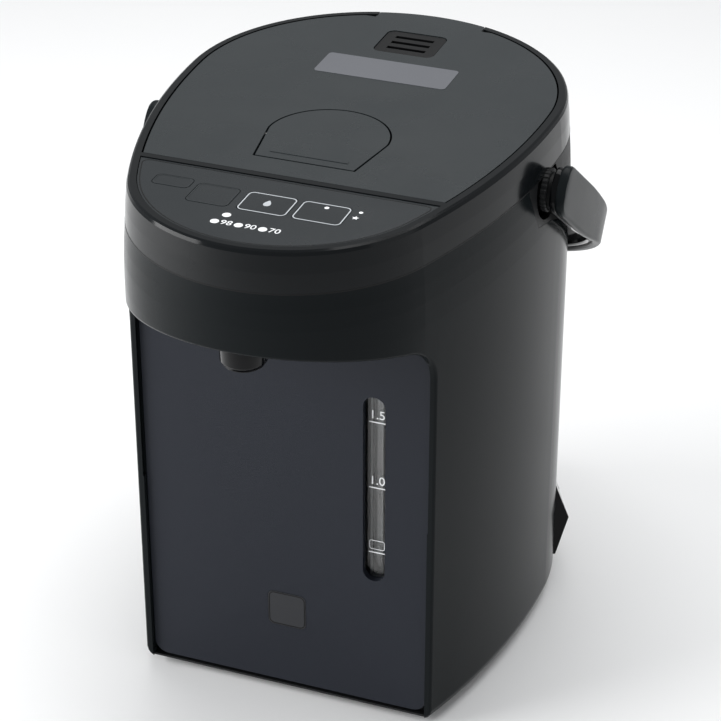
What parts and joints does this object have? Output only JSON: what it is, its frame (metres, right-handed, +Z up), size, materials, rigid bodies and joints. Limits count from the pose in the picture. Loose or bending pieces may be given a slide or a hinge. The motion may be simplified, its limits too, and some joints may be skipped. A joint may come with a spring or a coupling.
{
  "type": "electric thermo pot",
  "caption": "Charcoal electric thermo pot with a flip-open lid, push keys, a pump spout, a level window and a swinging carry handle.",
  "frame": {"origin": "centre of the footprint box on the table, with the handle folded back", "axes": "+Z up, -Y towards the spout's side, +X to the right when facing the spout"},
  "size_m": [0.203, 0.2896, 0.265],
  "materials": {
    "shell_paint": "satin charcoal paint",
    "panel_paint": "fine grained navy charcoal",
    "black_plastic": "gloss",
    "lid_plastic": "fine satin",
    "dark_plastic": "matte",
    "light_plastic": "matte",
    "clear": "clear",
    "steel": "brushed",
    "motor_steel": "bright",
    "aluminium": "plain",
    "brass": "plain",
    "silicone": "soft",
    "rubber": "soft",
    "board": "board",
    "insulation": "felt"
  },
  "bodies": {
    "root": {"outer_shell": "shell_paint", "front_panel": "panel_paint", "badge_plate": "dark_plastic", "gauge_window": "clear", "gauge_carrier": "light_plastic", "gauge_tube": "clear", "nose_underside": "dark_plastic", "spout_nozzle": "black_plastic", "spill_valve": "dark_plastic", "spill_ball": "steel", "upper_hose": "silicone", "pump_housing": "light_plastic", "pump_motor": "motor_steel", "pump_bracket": "dark_plastic", "delivery_hose": "silicone", "suction_hose": "silicone", "inner_vessel": "steel", "heat_jacket": "insulation", "mouth_seal": "silicone", "heat_shield": "aluminium", "heater_plate": "aluminium", "thermistor": "brass", "thermostat": "brass", "base_plate": "dark_plastic", "feet": "rubber", "base_screws": "steel", "power_board": "board", "board_holder": "light_plastic", "rear_cover": "dark_plastic", "plug_socket": "black_plastic", "socket_pins": "brass", "handle_bracket_left": "dark_plastic", "handle_bracket_right": "dark_plastic", "handle_pins": "steel", "top_frame": "lid_plastic", "hinge_pin": "steel", "control_panel": "black_plastic", "indicator_lenses": "light_plastic", "control_board": "board", "key_switches": "dark_plastic"},
    "lid": {"lid_cover": "lid_plastic", "lid_base": "dark_plastic", "lever_pin": "steel", "inner_lid": "steel", "lid_gasket": "silicone", "steam_duct": "dark_plastic", "steam_vent": "dark_plastic", "label_film": "light_plastic", "latch_spring": "steel", "spring_stop": "dark_plastic"},
    "lever": {"lid_lever": "lid_plastic"},
    "latch": {"latch_bolt": "dark_plastic"},
    "handle": {"handle": "lid_plastic"},
    "key_dispense": {"key_dispense": "black_plastic"},
    "key_unlock": {"key_unlock": "black_plastic"},
    "key_keep_warm": {"key_keep_warm": "black_plastic"},
    "key_reboil": {"key_reboil": "black_plastic"},
    "rotor": {"motor_rotor": "steel"},
    "impeller": {"pump_impeller": "light_plastic"}
  },
  "joints": [
    {"name": "lid_hinge", "type": "hinge", "parent": "root", "child": "lid", "pos_m": [0, 0.10665, 0.2582], "axis": [-1, 0, 0], "range_deg": [0, 85]},
    {"name": "lever_tilt", "type": "hinge", "parent": "lid", "child": "lever", "pos_m": [0, -0.03135, 0.2604], "axis": [1, 0, 0], "range_deg": [0, 8], "stiffness_Nm_per_rad": 0.6, "springref_deg": -11.46},
    {"name": "latch_slide", "type": "slide", "parent": "lid", "child": "latch", "axis": [0, 1, 0], "range_m": [0, 0.003], "deforming": ["latch_spring"]},
    {"name": "handle_swing", "type": "hinge", "parent": "root", "child": "handle", "pos_m": [0, 0.00515, 0.2375], "axis": [1, 0, 0], "range_deg": [0, 126]},
    {"name": "dispense_press", "type": "slide", "parent": "root", "child": "key_dispense", "axis": [0, 0, -1], "range_m": [0, 0.0006], "stiffness_N_per_m": 600, "springref_m": -0.001},
    {"name": "unlock_press", "type": "slide", "parent": "root", "child": "key_unlock", "axis": [0, 0, -1], "range_m": [0, 0.0006], "stiffness_N_per_m": 600, "springref_m": -0.001},
    {"name": "keep_warm_press", "type": "slide", "parent": "root", "child": "key_keep_warm", "axis": [0, 0, -1], "range_m": [0, 0.0006], "stiffness_N_per_m": 600, "springref_m": -0.001},
    {"name": "reboil_press", "type": "slide", "parent": "root", "child": "key_reboil", "axis": [0, 0, -1], "range_m": [0, 0.0006], "stiffness_N_per_m": 600, "springref_m": -0.001},
    {"name": "motor_spin", "type": "hinge", "parent": "root", "child": "rotor", "pos_m": [0, -0.06085, 0.02], "axis": [0, 0, 1], "continuous": true},
    {"name": "impeller_spin", "type": "hinge", "parent": "root", "child": "impeller", "pos_m": [0, -0.06085, 0.038], "axis": [0, 0, 1], "continuous": true}
  ],
  "couplings": [
    {"joint": "latch_slide", "follows": "lever_tilt", "m_per_rad": 0.021486},
    {"joint": "impeller_spin", "follows": "motor_spin", "ratio": 1}
  ]
}
